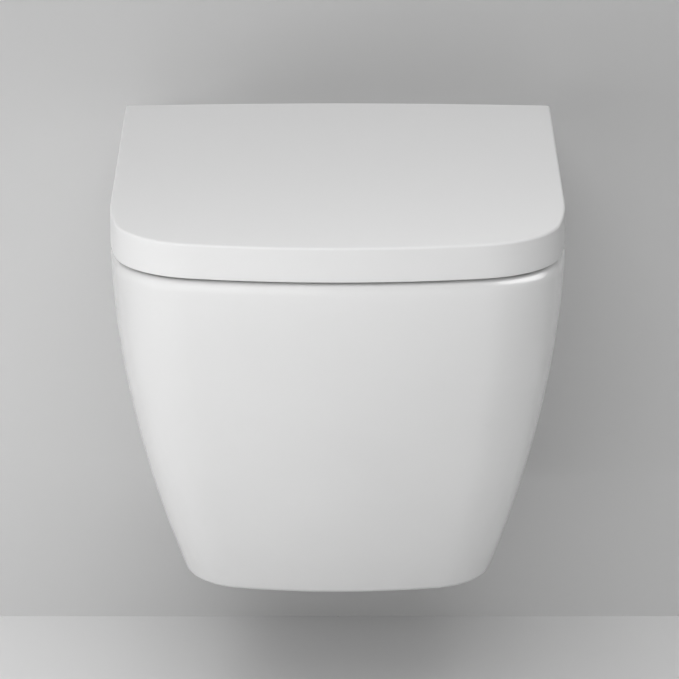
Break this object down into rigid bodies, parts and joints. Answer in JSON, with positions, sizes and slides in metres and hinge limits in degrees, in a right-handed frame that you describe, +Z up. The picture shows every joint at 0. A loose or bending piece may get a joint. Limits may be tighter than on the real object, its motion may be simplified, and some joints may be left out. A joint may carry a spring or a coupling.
{
  "type": "wall-hung toilet",
  "caption": "Wall-hung ceramic toilet pan with a tapering skin, wall fixings, and a soft-close seat ring and wrap-over lid that lift off their hinge posts.",
  "frame": {"origin": "on the finished wall, midway between the two wall studs", "axes": "+Z up, the front faces -Y, +X to the right seen from the front, and Y = 0 is the wall"},
  "size_m": [0.36, 0.54, 0.3615],
  "materials": {
    "glaze": "glossy white glaze",
    "seat_plastic": "glossy white thermoset",
    "steel": "satin stainless steel",
    "seal": "matte black rubber",
    "buffer": "matte translucent grey rubber",
    "grey_plastic": "fine matte moulding",
    "dark_plastic": "fine matte moulding"
  },
  "bodies": {
    "fixed": {"pan": "glaze", "bowl": "glaze", "trap": "glaze", "flush_channel": "glaze", "flush_distributor": "grey_plastic", "wall_bracket_left": "steel", "wall_bracket_right": "steel", "wall_washer_left": "steel", "wall_washer_right": "steel", "wall_nut_left": "steel", "wall_nut_right": "steel", "side_screw_left": "steel", "side_screw_right": "steel", "side_cap_left": "seat_plastic", "side_cap_right": "seat_plastic", "fixing_bolt_left": "steel", "fixing_bolt_right": "steel", "expansion_plug_left": "seal", "expansion_plug_right": "seal", "cone_nut_left": "steel", "cone_nut_right": "steel", "plate_gasket_left": "seal", "plate_gasket_right": "seal", "hinge_plate_left": "steel", "hinge_plate_right": "steel"},
    "hinge_set": {"hinge_block_left": "seat_plastic", "hinge_block_right": "seat_plastic", "hinge_axle_left": "steel", "hinge_axle_right": "steel"},
    "seat": {"seat_ring": "seat_plastic", "seat_damper": "dark_plastic", "seat_buffer_front_left": "buffer", "seat_buffer_front_right": "buffer", "seat_buffer_rear_left": "buffer", "seat_buffer_rear_right": "buffer"},
    "lid": {"lid": "seat_plastic", "lid_damper": "dark_plastic", "lid_buffer_left": "buffer", "lid_buffer_right": "buffer"},
    "release_button_left": {"release_button_left": "grey_plastic"},
    "release_button_right": {"release_button_right": "grey_plastic"}
  },
  "joints": [
    {"name": "seat_lift_off", "type": "slide", "parent": "fixed", "child": "hinge_set", "axis": [0, 0, 1], "range_m": [0, 0.04]},
    {"name": "seat_hinge", "type": "hinge", "parent": "hinge_set", "child": "seat", "pos_m": [0, -0.093, 0.0975], "axis": [-1, 0, 0], "range_deg": [0, 95]},
    {"name": "lid_hinge", "type": "hinge", "parent": "seat", "child": "lid", "pos_m": [0, -0.093, 0.0975], "axis": [1, 0, 0], "range_deg": [-95, 0]},
    {"name": "release_left", "type": "slide", "parent": "hinge_set", "child": "release_button_left", "axis": [0, 1, 0], "range_m": [0, 0.002], "stiffness_N_per_m": 600, "springref_m": -0.001},
    {"name": "release_right", "type": "slide", "parent": "hinge_set", "child": "release_button_right", "axis": [0, 1, 0], "range_m": [0, 0.002], "stiffness_N_per_m": 600, "springref_m": -0.001}
  ]
}
